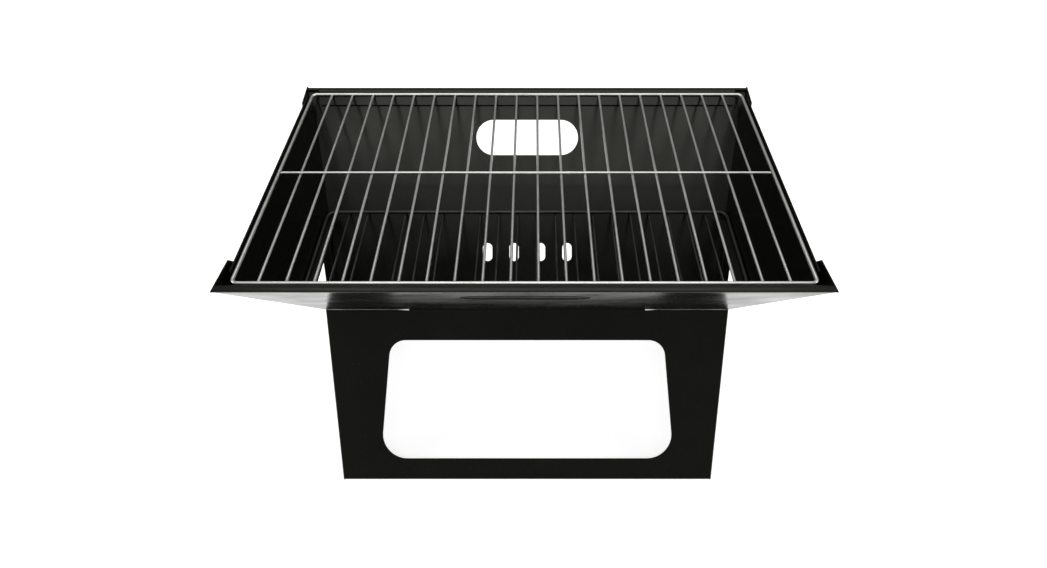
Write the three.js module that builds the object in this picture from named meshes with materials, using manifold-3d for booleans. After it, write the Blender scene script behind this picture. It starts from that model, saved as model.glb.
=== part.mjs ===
// A folding camp grill: two sheet-steel panels cross on a pivot rod like an X. Their upper halves
// are the walls of the fire trough, their lower halves are the legs. Two end plates close the
// trough and carry the charcoal grate, and the cooking grid lies between the rims.
//
// Millimetres. X runs along the pivot rod, Y from the front to the back, Z up. The origin is on
// the ground, below the middle of the pivot rod.

import * as THREE from 'three';
import { mergeVertices } from 'three/addons/utils/BufferGeometryUtils.js';
import Module from 'manifold-3d';

const wasm = await Module();
wasm.setup();

// Sheet metal
const SHEET = 1.0;
const CUT_MARGIN = 5;
const PIVOT_HEIGHT = 136;
const CASE_OFFSET = 12.2;
const CROSSING_GAP = 11;

// Rim, given from the pivot rod: a lip turned in from the top edge of each wall, and a hem that
// runs down from it beside the wall
const RIM = { out: 143.5, up: 155 };
const RIM_LIP = 6;
const RIM_HEM = { length: 14, halfX: 209 };

// Half widths of the two panels
const FRONT_PANEL = { rim: 224, crossing: 203, legTop: 196, foot: 183.5 };
const REAR_PANEL = { rim: 221, crossing: 199.5, legTop: 201.5, foot: 188 };
const FRONT_WALL_FLANGE = 26;
const REAR_WALL_FLANGE = 24;
const LEG_FLANGE = 12;
const FOOT_STRIP = 8;

// Tongues of each panel that reach through the other at the crossing
const REAR_TONGUES = [[-118, 118]];
const FRONT_TONGUES = [[-193, -128], [128, 193]];
const KNUCKLE_RADIUS = 5.2;
const KNUCKLE_BORE = 3.35;
const ROD_RADIUS = 3;
const ROD_HALF = 197.5;
const CAP_START = 193.6;
const CAP_END = 200;
const CAP_RADIUS = 6;
const ROUND_SIDES = 16;

// Openings in the sheets, with heights measured along the sheet from the pivot rod
const HANDLE_SLOT = { halfWidth: 51.3, low: 144, high: 179 };
const VENT = { halfWidth: 4.8, low: 36.5, high: 55, pitch: 27.1, count: 4 };
const WINDOW = { top: -41.5, bottom: -163.5, halfTop: 137, halfBottom: 149, rTop: 19.5, rBottom: 28.5 };

// Wire goods
const WIRE_GAP = 0.3;
const GRID = { halfX: 213, halfY: 133, wire: 3, bar: 2.2, corner: 4.5, bars: 20, pitch: 20.4 };
const CROSSBAR = { halfX: 210, y: -0.4 };
const GRATE = { halfX: 201, halfY: 60.5, wire: 3, bar: 2, corner: 8, bars: 20, pitch: 19 };
const BAR_SIDES = 8;

// End plates, in heights from the pivot rod
const PLATE = { low: 60, high: 132, xLow: 203.4, xHigh: 216.6, wallGap: 1.0 };
const PLATE_LEDGE = { width: 12, halfLength: 50 };

const COLOURS = {
  enamel: { color: 0x14140f, roughness: 0.25, metalness: 0.0 },
  chrome: { color: 0xc9c8c2, roughness: 0.3, metalness: 1.0 },
  grate: { color: 0x2b2a28, roughness: 0.5, metalness: 0.8 },
  zinc: { color: 0x9a9a98, roughness: 0.4, metalness: 1.0 },
};

// The slope of a wall that stands CASE_OFFSET outside the rod and ends in the rim corner
const RIM_REACH = Math.hypot(RIM.out, RIM.up);
const SLOPE = Math.atan2(RIM.up, RIM.out) + Math.asin(CASE_OFFSET / RIM_REACH);
const COS = Math.cos(SLOPE);
const SIN = Math.sin(SLOPE);
const WALL_TOP = Math.sqrt(RIM_REACH ** 2 - CASE_OFFSET ** 2);

// Panel coordinates are (n, u): n outwards from the panel's middle plane, u up along the panel.
// This turns a point given from the rod, (out, up), into them.
function toPanel(out, up) {
  return [out * SIN - up * COS, out * COS + up * SIN];
}

// ---- Solids ----

function toSolid(geometry) {
  const bare = geometry.clone();
  bare.deleteAttribute('normal');
  bare.deleteAttribute('uv');
  const merged = mergeVertices(bare);
  const vertProperties = new Float32Array(merged.attributes.position.array);
  const triVerts = new Uint32Array(merged.index.array);
  return new wasm.Manifold(new wasm.Mesh({ numProp: 3, vertProperties, triVerts }));
}

function toGeometry(solid) {
  const mesh = solid.getMesh();
  const geometry = new THREE.BufferGeometry();
  geometry.setAttribute('position', new THREE.BufferAttribute(mesh.vertProperties, 3));
  geometry.setIndex(new THREE.BufferAttribute(mesh.triVerts, 1));
  geometry.computeVertexNormals();
  return geometry;
}

function addAll(solids) {
  return solids.reduce((whole, piece) => whole.add(piece));
}

function shapeOf(points) {
  return new THREE.Shape(points.map(([a, b]) => new THREE.Vector2(a, b)));
}

// A section in (y, z), drawn out along X
function alongX(points, x0, x1) {
  const geometry = new THREE.ExtrudeGeometry(shapeOf(points), { depth: x1 - x0, bevelEnabled: false });
  const turn = new THREE.Matrix4().makeBasis(
    new THREE.Vector3(0, 1, 0),
    new THREE.Vector3(0, 0, 1),
    new THREE.Vector3(1, 0, 0),
  );
  geometry.applyMatrix4(turn);
  geometry.translate(x0, 0, 0);
  return toSolid(geometry);
}

// An outline in (x, z), drawn out along Y
function alongY(shape, y0, y1, curveSegments = 6) {
  const geometry = new THREE.ExtrudeGeometry(shape, { depth: y1 - y0, bevelEnabled: false, curveSegments });
  geometry.rotateX(Math.PI / 2);
  geometry.translate(0, y1, 0);
  return toSolid(geometry);
}

// A cylinder along X
function roundAlongX(radius, x0, x1, sides = ROUND_SIDES) {
  const geometry = new THREE.CylinderGeometry(radius, radius, x1 - x0, sides);
  geometry.rotateZ(Math.PI / 2);
  geometry.translate((x0 + x1) / 2, 0, 0);
  return toSolid(geometry);
}

// The closed outline of a sheet's section: the bent line, thickened by half the sheet each way
function sheetSection(line) {
  const points = line.map(([a, b]) => new THREE.Vector2(a, b));
  const sides = [[], []];
  points.forEach((point, i) => {
    const before = point.clone().sub(points[Math.max(i - 1, 0)]);
    const after = points[Math.min(i + 1, points.length - 1)].clone().sub(point);
    const inward = (before.length() > 0 ? before : after).clone().normalize();
    const outward = (after.length() > 0 ? after : before).clone().normalize();
    const tangent = inward.clone().add(outward).normalize();
    const reach = SHEET / 2 / tangent.dot(outward);
    const normal = new THREE.Vector2(-tangent.y, tangent.x).multiplyScalar(reach);
    sides[0].push(point.clone().add(normal).toArray());
    sides[1].unshift(point.clone().sub(normal).toArray());
  });
  return [...sides[0], ...sides[1]];
}

// ---- Panels ----

// Half width of a tapering sheet at height u, straight between its two ends
function taper(u, low, high, halfLow, halfHigh) {
  return halfLow + (halfHigh - halfLow) * (u - low) / (high - low);
}

function roundedWindow() {
  const { top, bottom, halfTop, halfBottom, rTop, rBottom } = WINDOW;
  const shape = new THREE.Shape();
  shape.moveTo(-halfBottom + rBottom, bottom);
  shape.lineTo(halfBottom - rBottom, bottom);
  shape.quadraticCurveTo(halfBottom, bottom, halfBottom, bottom + rBottom);
  shape.lineTo(halfTop, top - rTop);
  shape.quadraticCurveTo(halfTop, top, halfTop - rTop, top);
  shape.lineTo(-halfTop + rTop, top);
  shape.quadraticCurveTo(-halfTop, top, -halfTop, top - rTop);
  shape.lineTo(-halfBottom, bottom + rBottom);
  shape.quadraticCurveTo(-halfBottom, bottom, -halfBottom + rBottom, bottom);
  return shape;
}

// A slot with half-round ends, lying or standing
function slotShape(centreX, low, high, halfWidth) {
  const radius = Math.min(halfWidth, (high - low) / 2);
  const shape = new THREE.Shape();
  shape.moveTo(centreX + halfWidth, low + radius);
  shape.absarc(centreX + halfWidth - radius, high - radius, radius, 0, Math.PI / 2);
  shape.absarc(centreX - halfWidth + radius, high - radius, radius, Math.PI / 2, Math.PI);
  shape.absarc(centreX - halfWidth + radius, low + radius, radius, Math.PI, Math.PI * 1.5);
  shape.absarc(centreX + halfWidth - radius, low + radius, radius, Math.PI * 1.5, Math.PI * 2);
  return shape;
}

function wallOpenings() {
  const slots = [slotShape(0, HANDLE_SLOT.low, HANDLE_SLOT.high, HANDLE_SLOT.halfWidth)];
  for (let i = 0; i < VENT.count; i += 1) {
    const x = (i - (VENT.count - 1) / 2) * VENT.pitch;
    slots.push(slotShape(x, VENT.low, VENT.high, VENT.halfWidth));
  }
  return slots.map((shape) => alongY(shape, 0, 2 * CASE_OFFSET));
}

// The wall with its rim: sheet metal, cut to a tapering outline. The hem stops short of the sides.
function wallSheet(widths) {
  const lipEdge = toPanel(RIM.out - RIM_LIP, RIM.up);
  const lipped = [lipEdge, [CASE_OFFSET, WALL_TOP], [CASE_OFFSET, CROSSING_GAP]];
  const hemmed = [[lipEdge[0], lipEdge[1] - RIM_HEM.length], ...lipped];
  const above = WALL_TOP + 4 * CUT_MARGIN;
  const outline = shapeOf([
    [-widths.crossing, CROSSING_GAP],
    [widths.crossing, CROSSING_GAP],
    [widths.rim, WALL_TOP],
    [widths.rim, above],
    [-widths.rim, above],
    [-widths.rim, WALL_TOP],
  ]);
  const cutter = alongY(outline, -2 * CASE_OFFSET, 4 * CASE_OFFSET);
  const hem = alongX(sheetSection(hemmed), -RIM_HEM.halfX, RIM_HEM.halfX);
  const sheet = alongX(sheetSection(lipped), -widths.rim, widths.rim).add(hem).intersect(cutter);
  return wallOpenings().reduce((whole, slot) => whole.subtract(slot), sheet);
}

// A strip along one slanted side edge, between the heights low and high
function edgeStrip(side, low, high, halfLow, halfHigh, n0, n1) {
  const strip = [
    [side * halfLow, low],
    [side * halfHigh, high],
    [side * (halfHigh - SHEET), high],
    [side * (halfLow - SHEET), low],
  ];
  return alongY(shapeOf(strip), n0, n1);
}

// Side flange of a wall, turned inwards over the trough and cut level with the rim
function wallFlange(side, widths, depth) {
  const outer = CASE_OFFSET + SHEET / 2;
  const inner = outer - depth;
  const beyond = WALL_TOP + 2 * CUT_MARGIN;
  const halfBeyond = taper(beyond, CROSSING_GAP, WALL_TOP, widths.crossing, widths.rim);
  const strip = edgeStrip(side, CROSSING_GAP, beyond, widths.crossing, halfBeyond, inner, outer);
  const level = RIM.up + SHEET / 2;
  const profile = [
    [inner, CROSSING_GAP],
    [outer, CROSSING_GAP],
    [outer, (level + outer * COS) / SIN],
    [inner, (level + inner * COS) / SIN],
  ];
  return strip.intersect(alongX(profile, -2 * widths.rim, 2 * widths.rim));
}

// The leg: sheet metal with a foot strip turned in along the ground, and a window
function legSheet(widths) {
  const ground = SHEET / 2 - PIVOT_HEIGHT;
  const foot = [-CASE_OFFSET, (ground - CASE_OFFSET * COS) / SIN];
  const line = [
    [-CASE_OFFSET, -CROSSING_GAP],
    foot,
    [foot[0] + FOOT_STRIP * SIN, foot[1] + FOOT_STRIP * COS],
  ];
  const below = foot[1] - CUT_MARGIN;
  const outline = shapeOf([
    [-taper(below, foot[1], -CROSSING_GAP, widths.foot, widths.legTop), below],
    [taper(below, foot[1], -CROSSING_GAP, widths.foot, widths.legTop), below],
    [widths.legTop, -CROSSING_GAP],
    [-widths.legTop, -CROSSING_GAP],
  ]);
  const cutter = alongY(outline, -2 * CASE_OFFSET, 2 * CASE_OFFSET);
  const window = alongY(roundedWindow(), -2 * CASE_OFFSET, CUT_MARGIN - CASE_OFFSET);
  return alongX(sheetSection(line), -widths.legTop, widths.legTop).intersect(cutter).subtract(window);
}

// Side flange of a leg, cut level with the ground
function legFlange(side, widths) {
  const outer = -CASE_OFFSET - SHEET / 2;
  const inner = outer + LEG_FLANGE;
  const ground = -PIVOT_HEIGHT;
  const below = (ground + outer * COS) / SIN;
  const footAt = (ground + SHEET / 2 - CASE_OFFSET * COS) / SIN;
  const halfBelow = taper(below, footAt, -CROSSING_GAP, widths.foot, widths.legTop);
  const strip = edgeStrip(side, below, -CROSSING_GAP, halfBelow, widths.legTop, outer, inner);
  const profile = [
    [outer, -CROSSING_GAP],
    [outer, below],
    [inner, (ground + inner * COS) / SIN],
    [inner, -CROSSING_GAP],
  ];
  return strip.intersect(alongX(profile, -2 * widths.legTop, 2 * widths.legTop));
}

// A tongue runs from the wall, round the rod in a knuckle, to the leg on the other side
function tongue([x0, x1]) {
  const overlap = SHEET;
  const line = [
    [CASE_OFFSET, CROSSING_GAP + overlap],
    [CASE_OFFSET, CROSSING_GAP],
    [-CASE_OFFSET, -CROSSING_GAP],
    [-CASE_OFFSET, -CROSSING_GAP - overlap],
  ];
  const strap = alongX(sheetSection(line), x0, x1);
  const bore = roundAlongX(KNUCKLE_BORE, x0 - CUT_MARGIN, x1 + CUT_MARGIN);
  return strap.add(roundAlongX(KNUCKLE_RADIUS, x0, x1)).subtract(bore);
}

function panelSolid(widths, flangeDepth, tongues) {
  const pieces = [wallSheet(widths), legSheet(widths), ...tongues.map(tongue)];
  for (const side of [-1, 1]) {
    pieces.push(wallFlange(side, widths, flangeDepth), legFlange(side, widths));
  }
  return addAll(pieces);
}

// ---- End plates ----

// Half length of the trough at a height, up to a plane that stays clear of the wall's inner face
function troughHalf(up, clearance) {
  const n = CASE_OFFSET - SHEET / 2 - clearance;
  return n * SIN + (up + n * COS) * COS / SIN;
}

// The plate leans outwards with the walls' side edges, up to the level of the rims. Its ledge is
// turned in at the bottom. Above the height high its edges stand upright, which leaves room for
// the rims as they close in.
function endPlateSolid() {
  const { low, high, xLow, xHigh, wallGap } = PLATE;
  const top = RIM.up + SHEET / 2;
  const halfTop = troughHalf(high, wallGap);
  const line = [
    [xLow - PLATE_LEDGE.width, low],
    [xLow, low],
    [xHigh, top],
  ];
  const halves = [
    [PLATE_LEDGE.halfLength, low - CUT_MARGIN],
    [PLATE_LEDGE.halfLength, low + SHEET],
    [troughHalf(low + SHEET, wallGap), low + SHEET],
    [halfTop, high],
    [halfTop, top + CUT_MARGIN],
  ];
  const outline = [...halves, ...halves.map(([y, z]) => [-y, z]).reverse()];
  const sheet = alongY(shapeOf(sheetSection(line)), -halfTop, halfTop);
  return sheet.intersect(alongX(outline, 0, 2 * xHigh));
}

// ---- Wire goods ----

function roundedRectangle(halfX, halfY, radius, Kind) {
  const outline = new Kind();
  outline.absarc(halfX - radius, -halfY + radius, radius, -Math.PI / 2, 0);
  outline.absarc(halfX - radius, halfY - radius, radius, 0, Math.PI / 2);
  outline.absarc(-halfX + radius, halfY - radius, radius, Math.PI / 2, Math.PI);
  outline.absarc(-halfX + radius, -halfY + radius, radius, Math.PI, Math.PI * 1.5);
  return outline;
}

// A closed frame of wire with an eight-sided section, lying flat with its middle at z = 0
function wireFrame(halfX, halfY, corner, wire) {
  const flat = wire * Math.tan(Math.PI / 8);
  const bevel = (wire - flat) / 2;
  const shape = roundedRectangle(halfX + flat / 2, halfY + flat / 2, corner + flat / 2, THREE.Shape);
  shape.holes.push(roundedRectangle(halfX - flat / 2, halfY - flat / 2, corner - flat / 2, THREE.Path));
  const geometry = new THREE.ExtrudeGeometry(shape, {
    depth: flat,
    bevelEnabled: true,
    bevelThickness: bevel,
    bevelSize: bevel,
    bevelSegments: 1,
    curveSegments: 4,
  });
  geometry.translate(0, 0, -flat / 2);
  return toGeometry(toSolid(geometry));
}

// ---- Scene graph ----

const grill = new THREE.Group();

function add(parent, name, geometry, finish) {
  const mesh = new THREE.Mesh(geometry, new THREE.MeshStandardMaterial(COLOURS[finish]));
  mesh.name = name;
  parent.add(mesh);
  return mesh;
}

// A panel leans from upright by the rest of its slope. The front one faces the other way.
function addPanel(name, widths, flangeDepth, tongues, turn) {
  const facing = new THREE.Group();
  facing.position.z = PIVOT_HEIGHT;
  facing.rotation.z = turn;
  grill.add(facing);
  const solid = panelSolid(widths, flangeDepth, tongues);
  add(facing, name, toGeometry(solid), 'enamel').rotation.x = SLOPE - Math.PI / 2;
}

function addPivotRod() {
  const rod = add(grill, 'pivot_rod', toGeometry(roundAlongX(ROD_RADIUS, -ROD_HALF, ROD_HALF)), 'zinc');
  rod.position.z = PIVOT_HEIGHT;
  const blind = roundAlongX(KNUCKLE_BORE, CAP_START - CUT_MARGIN, ROD_HALF + WIRE_GAP);
  const cap = roundAlongX(CAP_RADIUS, CAP_START, CAP_END).subtract(blind);
  for (const [name, turn] of [['rod_cap_left', Math.PI], ['rod_cap_right', 0]]) {
    const mesh = add(grill, name, toGeometry(cap), 'zinc');
    mesh.position.z = PIVOT_HEIGHT;
    mesh.rotation.z = turn;
  }
}

function addEndPlates() {
  for (const [name, turn] of [['end_plate_left', Math.PI], ['end_plate_right', 0]]) {
    const mesh = add(grill, name, toGeometry(endPlateSolid()), 'enamel');
    mesh.position.z = PIVOT_HEIGHT;
    mesh.rotation.z = turn;
  }
}

function addBars(prefix, parent, count, pitch, diameter, length, finish) {
  for (let i = 0; i < count; i += 1) {
    const rod = new THREE.CylinderGeometry(diameter / 2, diameter / 2, length, BAR_SIDES);
    const name = `${prefix}_${String(i + 1).padStart(2, '0')}`;
    const bar = add(parent, name, toGeometry(toSolid(rod)), finish);
    bar.position.x = (i - (count - 1) / 2) * pitch;
  }
}

// Height of the cooking grid's frame wire, where it rests against the hems from inside
function gridUp() {
  const apart = (GRID.wire + SHEET) / 2 + WIRE_GAP;
  const room = RIM.out - RIM_LIP - GRID.halfY;
  return RIM.up + (apart - room * SIN) / COS;
}

// The cooking grid lies between the rims. Its bars stop at the frame wire, level with its underside.
function addCookingGrid() {
  const table = new THREE.Group();
  table.position.z = PIVOT_HEIGHT + gridUp() - GRID.wire / 2;
  grill.add(table);
  const frame = wireFrame(GRID.halfX, GRID.halfY, GRID.corner, GRID.wire);
  add(table, 'grid_frame', frame, 'chrome').position.z = GRID.wire / 2;
  const bars = new THREE.Group();
  bars.position.z = GRID.bar / 2;
  table.add(bars);
  const barLength = 2 * (GRID.halfY - WIRE_GAP) - GRID.wire;
  addBars('grid_bar', bars, GRID.bars, GRID.pitch, GRID.bar, barLength, 'chrome');
  const cross = new THREE.CylinderGeometry(GRID.bar / 2, GRID.bar / 2, 2 * CROSSBAR.halfX, BAR_SIDES);
  cross.rotateZ(Math.PI / 2);
  const crossbar = add(table, 'grid_crossbar', toGeometry(toSolid(cross)), 'chrome');
  crossbar.position.set(0, CROSSBAR.y, 1.5 * GRID.bar + WIRE_GAP);
}

// The charcoal grate rests on the end plates' ledges. Its bars hang under the frame wire.
function addCharcoalGrate() {
  const table = new THREE.Group();
  table.position.z = PIVOT_HEIGHT + PLATE.low + SHEET / 2 + WIRE_GAP + GRATE.wire / 2;
  grill.add(table);
  add(table, 'grate_frame', wireFrame(GRATE.halfX, GRATE.halfY, GRATE.corner, GRATE.wire), 'grate');
  const bars = new THREE.Group();
  bars.position.z = -(GRATE.wire + GRATE.bar) / 2 - WIRE_GAP;
  table.add(bars);
  addBars('grate_bar', bars, GRATE.bars, GRATE.pitch, GRATE.bar, 2 * GRATE.halfY, 'grate');
}

addPanel('rear_panel', REAR_PANEL, REAR_WALL_FLANGE, REAR_TONGUES, 0);
addPanel('front_panel', FRONT_PANEL, FRONT_WALL_FLANGE, FRONT_TONGUES, Math.PI);
addPivotRod();
addEndPlates();
addCookingGrid();
addCharcoalGrate();

export default grill;
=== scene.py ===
import math
import random

import bmesh
import bpy
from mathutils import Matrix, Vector


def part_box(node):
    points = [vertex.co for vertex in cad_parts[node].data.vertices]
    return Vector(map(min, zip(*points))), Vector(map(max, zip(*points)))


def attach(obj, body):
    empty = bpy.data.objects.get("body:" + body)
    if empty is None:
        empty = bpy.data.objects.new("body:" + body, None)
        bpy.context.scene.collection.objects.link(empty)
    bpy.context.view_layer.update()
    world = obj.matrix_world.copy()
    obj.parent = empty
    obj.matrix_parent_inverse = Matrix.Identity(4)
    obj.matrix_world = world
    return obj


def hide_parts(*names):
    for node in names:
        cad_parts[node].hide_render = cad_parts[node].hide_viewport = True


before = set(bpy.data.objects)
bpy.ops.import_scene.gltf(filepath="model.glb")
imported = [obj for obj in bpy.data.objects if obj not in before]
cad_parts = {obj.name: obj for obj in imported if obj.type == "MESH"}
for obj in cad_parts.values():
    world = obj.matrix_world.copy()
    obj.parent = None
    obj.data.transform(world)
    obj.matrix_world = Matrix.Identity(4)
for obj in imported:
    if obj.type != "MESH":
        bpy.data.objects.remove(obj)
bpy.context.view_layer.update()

# The visual model of a folding camp grill, in metres, in the frame of its CAD model.
# X runs along the pivot rod, Y from the front to the back, Z up from the ground.

RANDOM = random.Random(7)

# Sheet metal. Bend radii are to the middle of the sheet.
SHEET = 0.001
BEND = 0.0015
RIM_BEND = 0.0008
CROSSING_BEND = 0.0006
BEND_STEPS = 4
SHEET_BEVEL = 0.00028
WAVE = 0.00012
COLUMN_PITCH = 0.012
EDGE = SHEET / 2 + BEND

# Crossing: how far a panel's middle surface lies from the rod (CASE), how far along the panel it
# turns over to the other side (GAP), and how far its free edges reach into that space
PIVOT_Z = sum(corner.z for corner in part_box("pivot_rod")) / 2
CASE = 0.0122
GAP = 0.011
CROSSING_REACH = 0.0004
KNUCKLE = 0.0052
BORE = 0.00335
KNUCKLE_INSET = 0.0002
KNUCKLE_SIDES = 32

# Rim, from the pivot rod: a lip turned in from the wall's top, and a hem down from it. Both end
# just short of the flanges' ears (RIM_AIR). The ears go on widening for EAR_REACH above the wall,
# and are divided at EAR_SPLIT of their height.
RIM_OUT = 0.1435
RIM_UP = 0.155
LIP = 0.006
HEM = 0.014
RIM_AIR = 0.00005
EAR_REACH = 0.012
EAR_SPLIT = 0.18

# Panels: half widths at four heights, the depth of the side flanges, the tongues that reach
# through the other panel, and which way the panel faces
REAR = {
    "rim": 0.221, "crossing": 0.1995, "leg_top": 0.2015, "foot": 0.188,
    "flange": 0.024, "tongues": [(-0.118, 0.118)], "turn": 1,
}
FRONT = {
    "rim": 0.224, "crossing": 0.203, "leg_top": 0.196, "foot": 0.1835,
    "flange": 0.026, "tongues": [(-0.193, -0.128), (0.128, 0.193)], "turn": -1,
}
LEG_FLANGE = 0.012
FLANGE_STEPS = 4
FOOT_STRIP = 0.008

# Rows of quads along the foot strip, leg, crossing, wall, lip and hem
PROFILE_STEPS = [1, 14, 4, 18, 2, 4]

# Openings, with heights measured along the sheet from the pivot rod
HANDLE_SLOT = {"half": 0.0513, "low": 0.144, "high": 0.179}
VENT = {"half": 0.0048, "low": 0.0365, "high": 0.055, "pitch": 0.0271, "count": 4}
WINDOW = {
    "top": -0.0415, "bottom": -0.1635, "half_top": 0.137, "half_bottom": 0.149,
    "r_top": 0.0168, "r_bottom": 0.0245,
}
SLOT_STEPS = 12
WINDOW_STEPS = 14

# End plates: heights above the rod, x at the bottom and at the top, air beside the walls, and the
# ledge that carries the charcoal grate
PLATE = {"low": 0.060, "high": 0.132, "x_low": 0.2034, "x_high": 0.2166, "wall_gap": 0.001}
LEDGE = {"width": 0.012, "half": 0.050}
PLATE_STEPS = [3, 17]

# Wire goods. The weld steps are distances from a bar's end, over which its weld flares out.
GRID_CORNER = 0.0045
GRATE_CORNER = 0.008
CORNER_STEPS = 12
WIRE_SIDES = 20
BAR_SIDES = 14
BAR_STEPS = 10
BAR_BOW = 0.00018
WELD_STEPS = [0, 0.0008, 0.0016, 0.0026, 0.0042]
GRID_WELD = {"reach": 0.0012, "flare": 0.22}
GRATE_WELD = {"reach": 0.0, "flare": 0.12}
CROSSBAR_SINK = 0.0003

# Pivot rod and its push caps
ROD_CHAMFER = 0.0005
ROD_BEVEL = 0.0001
ROD_SIDES = 32
CAP = {"sides": 40, "chamfer": 0.0004, "dome": 0.0022, "dome_slope": 1.6, "dome_steps": 7, "air": 0.0003}

# Surroundings
FLOOR_HALF = 4.0
FLOOR_GLOW = 0.74
WORLD_LIGHT = 0.20
SOFTBOXES = {
    "overhead": {"place": (0, 0.5, 2.4), "aim": (0, 0, 0), "size": (2.2, 2.2), "watts": 22},
    "front_high": {"place": (0, -1.5, 2.1), "aim": (0, 0, 0.2), "size": (1.8, 0.7), "watts": 7},
    "side_left": {"place": (-2.0, -0.2, 0.9), "aim": (0, 0, 0.15), "size": (1.0, 1.2), "watts": 9},
    "side_right": {"place": (2.0, -0.2, 0.9), "aim": (0, 0, 0.15), "size": (1.0, 1.2), "watts": 9},
}
CAMERA = {"lens": 24.01, "shift_x": -0.00995, "place": (0.0068, -0.4920, 0.6466), "pitch": 44.94}

RIM_REACH = math.hypot(RIM_OUT, RIM_UP)
SLOPE = math.atan2(RIM_UP, RIM_OUT) + math.asin(CASE / RIM_REACH)
COS = math.cos(SLOPE)
SIN = math.sin(SLOPE)
WALL_TOP = math.sqrt(RIM_REACH ** 2 - CASE ** 2)
LEVEL_CUT = RIM_UP + SHEET / 2


# ---- Small helpers ----

def to_panel(out, up):
    """A point given from the rod, in a panel's own (n, u): n outwards, u up along the panel."""
    return Vector((out * SIN - up * COS, out * COS + up * SIN))


def in_row(turn, x, n, u):
    """A panel point in the row frame. turn is 1 for the rear panel and -1 for the front one."""
    return Vector((turn * x, turn * (n * SIN + u * COS), PIVOT_Z + u * SIN - n * COS))


def between(a, b, t):
    return a + (b - a) * t


def rounded_corner(before, corner, after, radius, steps):
    """Where a corner's rounding starts, and the points of its arc from there."""
    corner = Vector(corner)
    back = (Vector(before) - corner).normalized()
    ahead = (Vector(after) - corner).normalized()
    half = back.angle(ahead) / 2
    centre = corner + (back + ahead).normalized() * radius / math.sin(half)
    start = corner + back * radius / math.tan(half)
    end = corner + ahead * radius / math.tan(half)
    first_angle = math.atan2(*(start - centre).yx)
    sweep = math.remainder(math.atan2(*(end - centre).yx) - first_angle, math.tau)
    angles = [first_angle + sweep * k / steps for k in range(steps + 1)]
    return start, [centre + radius * Vector((math.cos(angle), math.sin(angle))) for angle in angles]


def filleted(points, radii, counts):
    """A polyline with rounded corners and divided straights. marks holds each corner's rows."""
    rows = [Vector(points[0])]
    marks = {}
    for i in range(1, len(points) - 1):
        start, arc = rounded_corner(*points[i - 1:i + 2], radii[i - 1], BEND_STEPS)
        last = rows[-1].copy()
        rows += [between(last, start, k / counts[i - 1]) for k in range(1, counts[i - 1] + 1)]
        marks[i] = (len(rows) - 1, len(rows) - 1 + BEND_STEPS)
        rows += arc[1:]
    last = rows[-1].copy()
    end = Vector(points[-1])
    rows += [between(last, end, k / counts[-1]) for k in range(1, counts[-1] + 1)]
    return rows, marks


def rounded_outline(corners, steps):
    """A closed outline with round corners, each given as (x, u, radius)."""
    outline = []
    for i, (x, u, radius) in enumerate(corners):
        before, after = corners[i - 1][:2], corners[(i + 1) % len(corners)][:2]
        outline += rounded_corner(before, (x, u), after, radius, steps)[1]
    return outline


def new_object(name, bm):
    mesh = bpy.data.meshes.new(name)
    bm.to_mesh(mesh)
    bm.free()
    obj = bpy.data.objects.new(name, mesh)
    bpy.context.scene.collection.objects.link(obj)
    return obj


def smooth(obj):
    for face in obj.data.polygons:
        face.use_smooth = True


def apply_modifiers(obj):
    graph = bpy.context.evaluated_depsgraph_get()
    mesh = bpy.data.meshes.new_from_object(obj.evaluated_get(graph))
    obj.modifiers.clear()
    obj.data = mesh


def boolean(obj, tool, operation):
    modifier = obj.modifiers.new(operation, "BOOLEAN")
    modifier.operation = operation
    modifier.solver = "EXACT"
    modifier.object = tool
    apply_modifiers(obj)
    bpy.data.objects.remove(tool)


def finish_edges(obj, bevel):
    """Rounds sharp edges, gives them the second material (a lighter enamel that paints a highlight along
    them), and shades the piece by face area.
    """
    edge = obj.modifiers.new("edge", "BEVEL")
    edge.width = bevel
    edge.segments = 2
    edge.limit_method = "ANGLE"
    edge.angle_limit = math.radians(50)
    edge.material = 1
    apply_modifiers(obj)
    smooth(obj)
    normals = obj.modifiers.new("normals", "WEIGHTED_NORMAL")
    normals.keep_sharp = True
    apply_modifiers(obj)


def thicken(obj):
    solid = obj.modifiers.new("sheet", "SOLIDIFY")
    solid.thickness = SHEET
    solid.offset = 0
    solid.use_even_offset = True
    apply_modifiers(obj)


# ---- Materials ----

def shader(name, settings):
    """A new material: itself, its tree, its surface shader and the object coordinates."""
    material = bpy.data.materials.new(name)
    material.use_nodes = True
    tree = material.node_tree
    surface = tree.nodes["Principled BSDF"]
    for socket, value in settings.items():
        surface.inputs[socket].default_value = value
    place = tree.nodes.new("ShaderNodeTexCoord")
    return material, tree, surface, place.outputs["Object"]


def noise(tree, place, scale, detail, stretch=None):
    if stretch:
        mapping = tree.nodes.new("ShaderNodeMapping")
        mapping.inputs["Scale"].default_value = stretch
        tree.links.new(place, mapping.inputs["Vector"])
        place = mapping.outputs["Vector"]
    node = tree.nodes.new("ShaderNodeTexNoise")
    node.inputs["Scale"].default_value = scale
    node.inputs["Detail"].default_value = detail
    tree.links.new(place, node.inputs["Vector"])
    return node.outputs["Fac"]


def ranged(tree, value, source, target):
    """Maps a value from one (low, high) range to another."""
    node = tree.nodes.new("ShaderNodeMapRange")
    for socket, number in zip(("From Min", "From Max", "To Min", "To Max"), (*source, *target)):
        node.inputs[socket].default_value = number
    tree.links.new(value, node.inputs["Value"])
    return node.outputs["Result"]


def mixed(tree, factor, a, b):
    node = tree.nodes.new("ShaderNodeMix")
    node.data_type = "RGBA"
    node.inputs["A"].default_value = (*a, 1)
    node.inputs["B"].default_value = (*b, 1)
    tree.links.new(factor, node.inputs["Factor"])
    return node.outputs["Result"]


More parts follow.
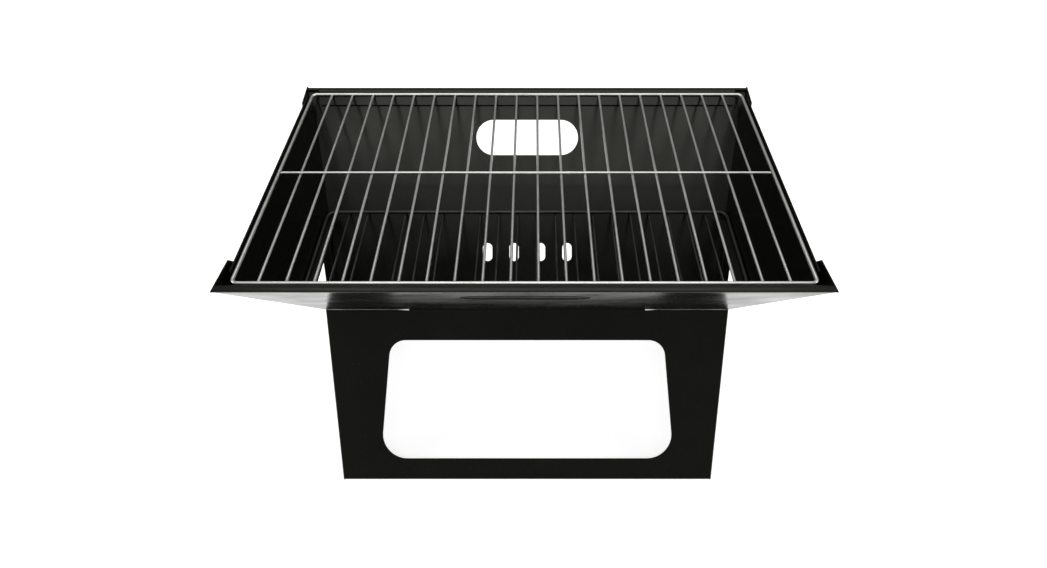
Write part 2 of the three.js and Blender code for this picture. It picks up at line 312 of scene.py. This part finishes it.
def bumped(tree, surface, layers):
    """Stacks bump layers, each a (height, distance in metres, strength)."""
    normal = None
    for height, distance, strength in layers:
        bump = tree.nodes.new("ShaderNodeBump")
        bump.inputs["Distance"].default_value = distance
        bump.inputs["Strength"].default_value = strength
        tree.links.new(height, bump.inputs["Height"])
        if normal:
            tree.links.new(normal, bump.inputs["Normal"])
        normal = bump.outputs["Normal"]
    tree.links.new(normal, surface.inputs["Normal"])


def enamel(name, base, dust, rough):
    """Gloss black paint: orange peel, a slight wave of the sheet, and faint settled dust."""
    material, tree, surface, place = shader(name, {"IOR": 1.37, "Specular Tint": (0.98, 1.0, 0.87, 1.0)})
    specks = ranged(tree, noise(tree, place, 420, 4), (0.60, 0.74), (0.0, 0.12))
    sheen = ranged(tree, noise(tree, place, 24, 4), (0.3, 0.7), rough)
    tree.links.new(mixed(tree, specks, base, dust), surface.inputs["Base Color"])
    tree.links.new(sheen, surface.inputs["Roughness"])
    peel = (noise(tree, place, 650, 1), 0.00003, 0.10)
    wave = (noise(tree, place, 11, 1), 0.0012, 0.10)
    bumped(tree, surface, [wave, peel])
    return material


def wire(name, base, tarnish, rough, metallic):
    """Drawn wire: fine lines along it, and patches of dull tarnish."""
    material, tree, surface, place = shader(name, {"Metallic": metallic})
    patches = ranged(tree, noise(tree, place, 30, 3), (0.40, 0.75), (0.0, 1.0))
    sheen = ranged(tree, noise(tree, place, 90, 4), (0.3, 0.7), rough)
    tree.links.new(mixed(tree, patches, base, tarnish), surface.inputs["Base Color"])
    tree.links.new(sheen, surface.inputs["Roughness"])
    bumped(tree, surface, [(noise(tree, place, 500, 1, (1, 0.08, 1)), 0.00002, 0.2)])
    return material


ENAMEL = enamel("black_enamel_gloss", (0.0060, 0.0060, 0.0050), (0.045, 0.044, 0.040), (0.16, 0.27))
# The edge enamel has a much lighter base and dust colour than the gloss enamel: a painted highlight
# along the bevelled sheet edges.
ENAMEL_EDGE_HIGHLIGHT = enamel("black_enamel_edge", (0.030, 0.030, 0.028), (0.09, 0.088, 0.082), (0.26, 0.40))
CHROME = wire("chrome_wire_bright", (0.88, 0.875, 0.84), (0.77, 0.76, 0.725), (0.28, 0.36), 1.0)
GRATE = wire("grate_wire_dark", (0.085, 0.083, 0.080), (0.045, 0.043, 0.041), (0.38, 0.55), 0.85)
ZINC = wire("zinc_rod_satin", (0.46, 0.46, 0.45), (0.34, 0.34, 0.33), (0.34, 0.46), 1.0)
CAD_LOOK = {"black_enamel": ENAMEL, "chrome_wire": CHROME, "grate_wire": GRATE, "zinc_rod": ZINC}


def dress(piece, slot, body, *nodes):
    """Gives a piece its finish, its body and the CAD nodes that it stands for."""
    piece.data.materials.clear()
    piece.data.materials.append(CAD_LOOK[slot])
    if slot == "black_enamel":
        # The second slot, on the bevels, holds the lighter edge enamel: a painted edge highlight.
        piece.data.materials.append(ENAMEL_EDGE_HIGHLIGHT)
    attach(piece, body)
    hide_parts(*nodes)


# ---- Panels ----

def profile():
    """A panel's section in (n, u), from the end of its foot strip up to the hem of its rim."""
    foot_u = (SHEET / 2 - PIVOT_Z - CASE * COS) / SIN
    lip_edge = to_panel(RIM_OUT - LIP, RIM_UP)
    points = [
        (-CASE + FOOT_STRIP * SIN, foot_u + FOOT_STRIP * COS),
        (-CASE, foot_u),
        (-CASE, -GAP),
        (CASE, GAP),
        (CASE, WALL_TOP),
        lip_edge,
        (lip_edge.x, lip_edge.y - HEM),
    ]
    radii = [CROSSING_BEND, CROSSING_BEND, CROSSING_BEND, RIM_BEND, RIM_BEND]
    return *filleted(points, radii, PROFILE_STEPS), foot_u


ROWS, MARKS, FOOT_U = profile()
ROW_FOOT = MARKS[1][1]
ROW_LEG_TOP = MARKS[2][0]
ROW_WALL_LOW = MARKS[3][1]
ROW_WALL_TOP = MARKS[4][0]
ROW_LIP_EDGE = MARKS[5][0]
SIDE_COLUMNS = BEND_STEPS + FLANGE_STEPS


def half_width(panel, u):
    if u > 0:
        t = (min(u, ROWS[ROW_WALL_TOP].y + EAR_REACH) - GAP) / (WALL_TOP - GAP)
        return between(panel["crossing"], panel["rim"], t)
    t = (max(u, FOOT_U) - FOOT_U) / (-GAP - FOOT_U)
    return between(panel["foot"], panel["leg_top"], t)


def middle_columns(panel):
    """x of each column at the crossing, on the wall and on the leg. A tongue's are the same."""
    borders = [x for tongue in sorted(panel["tongues"]) for x in tongue]
    wall = [EDGE - panel["crossing"], *borders, panel["crossing"] - EDGE]
    leg = [EDGE - panel["leg_top"], *borders, panel["leg_top"] - EDGE]
    columns = []
    for i in range(len(wall) - 1):
        count = max(1, round((wall[i + 1] - wall[i]) / COLUMN_PITCH))
        for k in range(count):
            t = k / count
            columns.append((between(wall[i], wall[i + 1], t), between(leg[i], leg[i + 1], t)))
    columns.append((wall[-1], leg[-1]))
    return columns


def sheet_wave(x, u):
    """The slight unevenness of a pressed sheet."""
    return WAVE * (math.sin(31 * x + 17 * u + 0.6) + 0.7 * math.sin(-19 * x + 43 * u + 2.1))


def free_edge(row, u):
    """Away from the tongues, a sheet's edge at the crossing reaches nearer to the other panel."""
    if row == ROW_WALL_LOW:
        return GAP - CROSSING_REACH
    if row == ROW_LEG_TOP:
        return CROSSING_REACH - GAP
    return u


def middle_point(panel, column, row):
    """(x, n, u) of a column of the flat part of a panel, on one of the rows."""
    n, u = ROWS[row]
    x_wall, x_leg = column
    if not any(low <= x_wall <= high for low, high in panel["tongues"]):
        u = free_edge(row, u)
    if ROW_LEG_TOP < row < ROW_WALL_LOW:
        return x_wall, n, u
    if row >= ROW_WALL_LOW:
        inset = EDGE if row <= ROW_WALL_TOP else SHEET + RIM_AIR
        half = half_width(panel, WALL_TOP if row > ROW_WALL_TOP else u) - inset
        x = x_wall * half / (panel["crossing"] - EDGE)
        level = ROW_WALL_LOW < row < ROW_WALL_TOP
    else:
        half = half_width(panel, u) - EDGE
        x = x_leg * half / (panel["leg_top"] - EDGE)
        level = ROW_FOOT < row < ROW_LEG_TOP
    if level:
        n += sheet_wave(x, u) * (1 - (x / half) ** 2)
    return x, n, u


def side_section(step, depth):
    """How far a side column lies from the outer corner, across and inwards."""
    if step <= BEND_STEPS:
        angle = math.pi / 2 * step / BEND_STEPS
        return BEND * (math.sin(angle) - 1), BEND * (1 - math.cos(angle))
    t = (step - BEND_STEPS) / FLANGE_STEPS
    return 0.0, between(BEND, depth - SHEET / 2, t)


def side_point(panel, step, row):
    """(x, n, u) of a side flange's column: over the trough on the wall, or along the leg."""
    if row >= ROW_WALL_LOW:
        across, inwards = side_section(step, panel["flange"])
        n = CASE - inwards
        low, top = free_edge(ROW_WALL_LOW, 0), ROWS[ROW_WALL_TOP].y
        goal = top + (n - CASE) * COS / SIN
        u = between(low, goal, (free_edge(row, ROWS[row].y) - low) / (top - low))
    else:
        across, inwards = side_section(step, LEG_FLANGE)
        n = -CASE + inwards
        top, low = free_edge(ROW_LEG_TOP, 0), ROWS[ROW_FOOT].y
        goal = (n * COS + SHEET / 2 * COS - PIVOT_Z) / SIN
        u = between(top, goal, (top - free_edge(row, ROWS[row].y)) / (top - low))
    return half_width(panel, u) - SHEET / 2 + across, n, u


def ear_point(panel, step, t):
    """The flange's flat upper end, which stands beside the rim and is cut level with it."""
    if step <= BEND_STEPS:
        n = between(CASE + SHEET / 2, CASE - BEND, (step - 1) / (BEND_STEPS - 1))
    else:
        n = CASE - side_section(step, panel["flange"])[1]
    base = ROWS[ROW_WALL_TOP].y + (n - CASE) * COS / SIN
    u = between(base, (LEVEL_CUT + n * COS) / SIN, t)
    return half_width(panel, u) - SHEET / 2, n, u


class PanelSurface:
    """The middle surface of one panel, as quads between its columns and rows."""

    def __init__(self, panel):
        self.panel = panel
        self.bm = bmesh.new()
        self.middle = middle_columns(panel)
        self.points = {}
        self.last = len(self.middle) + 2 * SIDE_COLUMNS - 1

    def side_step(self, column):
        """(side, step) of a side column, or (1, None) for a column of the flat part."""
        if column < SIDE_COLUMNS:
            return -1, SIDE_COLUMNS - column
        if column > self.last - SIDE_COLUMNS:
            return 1, column - (self.last - SIDE_COLUMNS)
        return 1, None

    def point(self, column, row, ear=None):
        """The vertex of a column on a row, or at a part of the way up the ear above that row."""
        key = (column, row, ear)
        if key not in self.points:
            side, step = self.side_step(column)
            if step is None:
                x, n, u = middle_point(self.panel, self.middle[column - SIDE_COLUMNS], row)
            elif ear is None:
                x, n, u = side_point(self.panel, step, row)
            else:
                x, n, u = ear_point(self.panel, step, ear)
            self.points[key] = self.bm.verts.new(in_row(self.panel["turn"], side * x, n, u))
        return self.points[key]

    def quads(self, columns, rows):
        for column in columns:
            for row in rows:
                corners = [(column, row), (column + 1, row), (column + 1, row + 1), (column, row + 1)]
                self.bm.faces.new([self.point(*corner) for corner in corners])

    def ears(self):
        """The flanges' upper ends, which stand beside the lip."""
        top = ROW_WALL_TOP
        sides = [*range(SIDE_COLUMNS - 1), *range(self.last - SIDE_COLUMNS + 1, self.last)]
        for column in sides:
            for low, high in ((None, EAR_SPLIT), (EAR_SPLIT, 1.0)):
                self.bm.faces.new([
                    self.point(column, top, low), self.point(column + 1, top, low),
                    self.point(column + 1, top, high), self.point(column, top, high),
                ])

    def tongue_columns(self):
        """The columns that go on through the crossing."""
        found = []
        for k in range(len(self.middle) - 1):
            x = (self.middle[k][0] + self.middle[k + 1][0]) / 2
            if any(low < x < high for low, high in self.panel["tongues"]):
                found.append(k + SIDE_COLUMNS)
        return found

    def build(self, name):
        flat = range(SIDE_COLUMNS, self.last - SIDE_COLUMNS)
        self.quads(range(self.last), range(ROW_FOOT, ROW_LEG_TOP))
        self.quads(range(self.last), range(ROW_WALL_LOW, ROW_WALL_TOP))
        self.quads(flat, range(0, ROW_FOOT))
        self.quads(flat, range(ROW_WALL_TOP, ROW_LIP_EDGE))
        self.quads(flat[1:-1], range(ROW_LIP_EDGE, len(ROWS) - 1))
        self.quads(self.tongue_columns(), range(ROW_LEG_TOP, ROW_WALL_LOW))
        self.ears()
        return new_object(name, self.bm)


def prism(name, turn, outline, n0, n1):
    """A cutter: an outline in (x, u), drawn out across a panel."""
    bm = bmesh.new()
    ends = [[bm.verts.new(in_row(turn, x, n, u)) for x, u in outline] for n in (n0, n1)]
    bm.faces.new(ends[0])
    bm.faces.new(list(reversed(ends[1])))
    count = len(outline)
    for i in range(count):
        k = (i + 1) % count
        bm.faces.new([ends[0][k], ends[0][i], ends[1][i], ends[1][k]])
    bmesh.ops.recalc_face_normals(bm, faces=bm.faces)
    return new_object(name, bm)


def slot_outline(x, half, low, high):
    radius = min(half, (high - low) / 2) * 0.9999
    corners = [(x - half, low), (x + half, low), (x + half, high), (x - half, high)]
    return rounded_outline([(*corner, radius) for corner in corners], SLOT_STEPS)


def window_outline():
    w = WINDOW
    return rounded_outline([
        (-w["half_bottom"], w["bottom"], w["r_bottom"]),
        (w["half_bottom"], w["bottom"], w["r_bottom"]),
        (w["half_top"], w["top"], w["r_top"]),
        (-w["half_top"], w["top"], w["r_top"]),
    ], WINDOW_STEPS)


def bridge(bm, a, b):
    count = len(a)
    for k in range(count):
        m = (k + 1) % count
        bm.faces.new([a[k], a[m], b[m], b[k]])


def closed_tube(name, bm, rings):
    """A solid through a row of rings, closed by a face at each end."""
    for a, b in zip(rings, rings[1:]):
        bridge(bm, a, b)
    bm.faces.new(rings[0])
    bm.faces.new(rings[-1])
    bmesh.ops.recalc_face_normals(bm, faces=bm.faces)
    return new_object(name, bm)


def round_bar(name, sections, sides):
    """A solid turned about the pivot axis, from its sections as (x, radius)."""
    bm = bmesh.new()
    rings = []
    for x, radius in sections:
        angles = [math.tau * k / sides for k in range(sides)]
        rings.append([
            bm.verts.new((x, radius * math.cos(angle), PIVOT_Z + radius * math.sin(angle)))
            for angle in angles
        ])
    return closed_tube(name, bm, rings)


def build_panel(name, panel, body, node):
    """One sheet with its knuckles, bore, handle slot, vent slots and leg window."""
    piece = PanelSurface(panel).build(name)
    thicken(piece)
    turn = panel["turn"]
    for low, high in panel["tongues"]:
        x0, x1 = sorted((turn * low, turn * high))
        knuckle = [(x0 + KNUCKLE_INSET, KNUCKLE), (x1 - KNUCKLE_INSET, KNUCKLE)]
        bore = [(x0 - GAP / 2, BORE), (x1 + GAP / 2, BORE)]
        boolean(piece, round_bar("knuckle", knuckle, KNUCKLE_SIDES), "UNION")
        boolean(piece, round_bar("bore", bore, KNUCKLE_SIDES), "DIFFERENCE")
    slot = slot_outline(0, HANDLE_SLOT["half"], HANDLE_SLOT["low"], HANDLE_SLOT["high"])
    boolean(piece, prism("slot", turn, slot, CASE / 2, 1.5 * CASE), "DIFFERENCE")
    for i in range(VENT["count"]):
        x = (i - (VENT["count"] - 1) / 2) * VENT["pitch"]
        vent = slot_outline(x, VENT["half"], VENT["low"], VENT["high"])
        boolean(piece, prism("vent", turn, vent, CASE / 2, 1.5 * CASE), "DIFFERENCE")
    boolean(piece, prism("window", turn, window_outline(), -1.5 * CASE, -CASE / 2), "DIFFERENCE")
    finish_edges(piece, SHEET_BEVEL)
    dress(piece, "black_enamel", body, node)


build_panel("rear_panel_sheet", REAR, "rear_panel", "rear_panel")
build_panel("front_panel_sheet", FRONT, "front_panel", "front_panel")


# ---- End plates ----

def trough_half(up):
    """Half the depth that is free between the walls, at a height above the rod."""
    n = CASE - SHEET / 2 - PLATE["wall_gap"]
    return n * SIN + (up + n * COS) * COS / SIN


def build_end_plate(side, name, body, node):
    """The plate leans outwards up to the level of the rims, with a ledge turned in below."""
    points = [
        (PLATE["x_low"] - LEDGE["width"], PLATE["low"]),
        (PLATE["x_low"], PLATE["low"]),
        (PLATE["x_high"], LEVEL_CUT),
    ]
    rows, marks = filleted(points, [BEND], PLATE_STEPS)
    foot_half = trough_half(PLATE["low"] + SHEET)
    cuts = [-foot_half, -LEDGE["half"], LEDGE["half"], foot_half]
    columns = []
    for a, b in zip(cuts, cuts[1:]):
        count = max(1, round((b - a) / COLUMN_PITCH))
        columns += [between(a, b, k / count) for k in range(count)]
    columns.append(foot_half)
    first_full = marks[1][1]
    bm = bmesh.new()
    made = {}

    def point(c, r):
        if (c, r) not in made:
            x, up = rows[r]
            scale = trough_half(min(max(up, PLATE["low"] + SHEET), PLATE["high"])) / foot_half
            y = columns[c] * (scale if r >= first_full else 1)
            bend = WAVE * math.sin(25 * y + 30 * up) if first_full < r < len(rows) - 1 else 0
            made[c, r] = bm.verts.new((side * (x + bend), side * y, PIVOT_Z + up))
        return made[c, r]

    for c in range(len(columns) - 1):
        on_ledge = abs(columns[c] + columns[c + 1]) / 2 < LEDGE["half"]
        for r in range(0 if on_ledge else first_full, len(rows) - 1):
            bm.faces.new([point(c, r), point(c + 1, r), point(c + 1, r + 1), point(c, r + 1)])
    piece = new_object(name, bm)
    thicken(piece)
    finish_edges(piece, SHEET_BEVEL)
    dress(piece, "black_enamel", body, node)


build_end_plate(1, "end_plate_right_sheet", "right_end_plate", "end_plate_right")
build_end_plate(-1, "end_plate_left_sheet", "left_end_plate", "end_plate_left")


# ---- Wire goods ----

def wire_section(bm, middle, across, radius, sides):
    """A ring of vertices round a level wire."""
    ring = []
    for k in range(sides):
        angle = math.tau * k / sides
        offset = across * math.cos(angle) + Vector((0, 0, math.sin(angle)))
        ring.append(bm.verts.new(middle + radius * offset))
    return ring


def wire_ring(name, node, corner):
    """A closed frame of round wire, lying in its CAD node's box."""
    low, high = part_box(node)
    radius = (high.z - low.z) / 2
    half_x = (high.x - low.x) / 2 - radius
    half_y = (high.y - low.y) / 2 - radius
    centre = (low + high) / 2
    corners = [(-half_x, -half_y), (half_x, -half_y), (half_x, half_y), (-half_x, half_y)]
    path = rounded_outline([(*point, corner) for point in corners], CORNER_STEPS)
    bm = bmesh.new()
    rings = []
    for i, point in enumerate(path):
        tangent = (path[(i + 1) % len(path)] - path[i - 1]).normalized()
        across = Vector((tangent.y, -tangent.x, 0))
        middle = centre + Vector((point.x, point.y, 0))
        rings.append(wire_section(bm, middle, across, radius, WIRE_SIDES))
    for i in range(len(rings)):
        bridge(bm, rings[i - 1], rings[i])
    bmesh.ops.recalc_face_normals(bm, faces=bm.faces)
    piece = new_object(name, bm)
    smooth(piece)
    return piece


def straight_wire(name, start, end, radius, flare, bow):
    """A round bar with a slight bow, and a flare of weld metal at each end."""
    run = end - start
    along = run.normalized()
    across = along.cross(Vector((0, 0, 1)))
    length = run.length
    inner = [length * k / BAR_STEPS for k in range(1, BAR_STEPS)]
    places = WELD_STEPS + inner + [length - step for step in reversed(WELD_STEPS)]
    bm = bmesh.new()
    rings = []
    for place in places:
        near = min(place, length - place)
        size = radius * (1 + flare * max(0.0, 1 - near / WELD_STEPS[-1]) ** 2)
        middle = start + along * place + across * bow * math.sin(math.pi * place / length)
        rings.append(wire_section(bm, middle, across, size, BAR_SIDES))
    piece = closed_tube(name, bm, rings)
    smooth(piece)
    return piece


def build_bars(prefix, piece_prefix, slot, body, weld):
    """One round bar for each CAD bar, reaching into the frame wire that it is welded to."""
    nodes = sorted(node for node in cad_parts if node.startswith(prefix))
    for node in nodes:
        low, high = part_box(node)
        radius = (high.z - low.z) / 2
        x, z = (low.x + high.x) / 2, (low.z + high.z) / 2
        start, end = Vector((x, low.y - weld["reach"], z)), Vector((x, high.y + weld["reach"], z))
        bow = RANDOM.uniform(-BAR_BOW, BAR_BOW)
        piece = straight_wire(piece_prefix + node[-2:], start, end, radius, weld["flare"], bow)
        dress(piece, slot, body, node)


def build_crossbar():
    """The cooking grid's long wire, sunk a little into the bars below it."""
    low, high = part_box("grid_crossbar")
    radius = (high.z - low.z) / 2
    y, z = (low.y + high.y) / 2, (low.z + high.z) / 2 - CROSSBAR_SINK
    start, end = Vector((low.x, y, z)), Vector((high.x, y, z))
    piece = straight_wire("grid_cross_wire", start, end, radius, 0.0, 0.0)
    dress(piece, "chrome_wire", "cooking_grid", "grid_crossbar")


grid_ring = wire_ring("grid_frame_wire", "grid_frame", GRID_CORNER)
dress(grid_ring, "chrome_wire", "cooking_grid", "grid_frame")
build_bars("grid_bar_", "grid_wire_", "chrome_wire", "cooking_grid", GRID_WELD)
build_crossbar()
grate_ring = wire_ring("grate_frame_wire", "grate_frame", GRATE_CORNER)
dress(grate_ring, "grate_wire", "charcoal_grate", "grate_frame")
build_bars("grate_bar_", "grate_wire_", "grate_wire", "charcoal_grate", GRATE_WELD)


# ---- Pivot rod ----

def build_rod():
    low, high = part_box("pivot_rod")
    radius = (high.z - low.z) / 2
    sections = [
        (low.x, radius - ROD_CHAMFER), (low.x + ROD_CHAMFER, radius),
        (high.x - ROD_CHAMFER, radius), (high.x, radius - ROD_CHAMFER),
    ]
    rod = round_bar("pivot_rod_round", sections, ROD_SIDES)
    finish_edges(rod, ROD_BEVEL)
    dress(rod, "zinc_rod", "hinge_rod", "pivot_rod")


def build_cap(name, node):
    """A domed push cap, hollow where the rod's end sits."""
    low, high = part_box(node)
    radius = (high.z - low.z) / 2
    side = 1 if low.x > 0 else -1
    inner, outer = (low.x, high.x) if side > 0 else (high.x, low.x)
    depth = abs(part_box("pivot_rod")[1].x) + CAP["air"]
    chamfer, dome = CAP["chamfer"], CAP["dome"]
    sections = [(side * depth, BORE), (inner, BORE), (inner, radius - chamfer)]
    sections.append((inner + side * chamfer, radius))
    for k in range(CAP["dome_steps"]):
        angle = math.pi / 2 * k / CAP["dome_steps"]
        x = outer - side * dome * (1 - math.sin(angle))
        sections.append((x, radius - dome * (1 - math.cos(angle)) * CAP["dome_slope"]))
    cap = round_bar(name, sections, CAP["sides"])
    finish_edges(cap, ROD_BEVEL)
    dress(cap, "zinc_rod", "hinge_rod", node)


build_rod()
build_cap("push_cap_left", "rod_cap_left")
build_cap("push_cap_right", "rod_cap_right")


# ---- Floor, light and camera ----

def build_floor():
    bm = bmesh.new()
    corners = [(-1, -1), (1, -1), (1, 1), (-1, 1)]
    bm.faces.new([bm.verts.new((FLOOR_HALF * x, FLOOR_HALF * y, 0)) for x, y in corners])
    floor = new_object("floor", bm)
    material, tree, surface, place = shader("pale_floor", {
        "Roughness": 0.7, "Emission Color": (1.0, 1.0, 1.0, 1.0), "Emission Strength": FLOOR_GLOW,
    })
    cloud = ranged(tree, noise(tree, place, 3, 2), (0.3, 0.7), (0, 1))
    tone = mixed(tree, cloud, (0.90, 0.90, 0.90), (0.93, 0.93, 0.93))
    tree.links.new(tone, surface.inputs["Base Color"])
    floor.data.materials.append(material)


def softbox(name, place, aim, size, watts):
    light = bpy.data.lights.new(name, "AREA")
    light.shape = "RECTANGLE"
    light.size, light.size_y = size
    light.energy = watts
    obj = bpy.data.objects.new(name, light)
    obj.location = place
    obj.rotation_euler = (Vector(aim) - Vector(place)).to_track_quat("-Z", "Y").to_euler()
    bpy.context.scene.collection.objects.link(obj)


def build_world():
    world = bpy.data.worlds.new("studio")
    world.use_nodes = True
    background = world.node_tree.nodes["Background"]
    background.inputs["Color"].default_value = (1.0, 1.0, 1.0, 1.0)
    background.inputs["Strength"].default_value = WORLD_LIGHT
    bpy.context.scene.world = world


def build_camera():
    camera = bpy.data.cameras.new("camera")
    camera.sensor_width = 36.0
    camera.lens = CAMERA["lens"]
    camera.shift_x = CAMERA["shift_x"]
    camera.clip_start = 0.01
    obj = bpy.data.objects.new("camera", camera)
    obj.location = CAMERA["place"]
    obj.rotation_euler = (math.radians(90 - CAMERA["pitch"]), 0, 0)
    bpy.context.scene.collection.objects.link(obj)
    bpy.context.scene.camera = obj


build_floor()
build_world()
for softbox_name, settings in SOFTBOXES.items():
    softbox(softbox_name, **settings)
build_camera()
bpy.context.scene.view_settings.view_transform = "Standard"
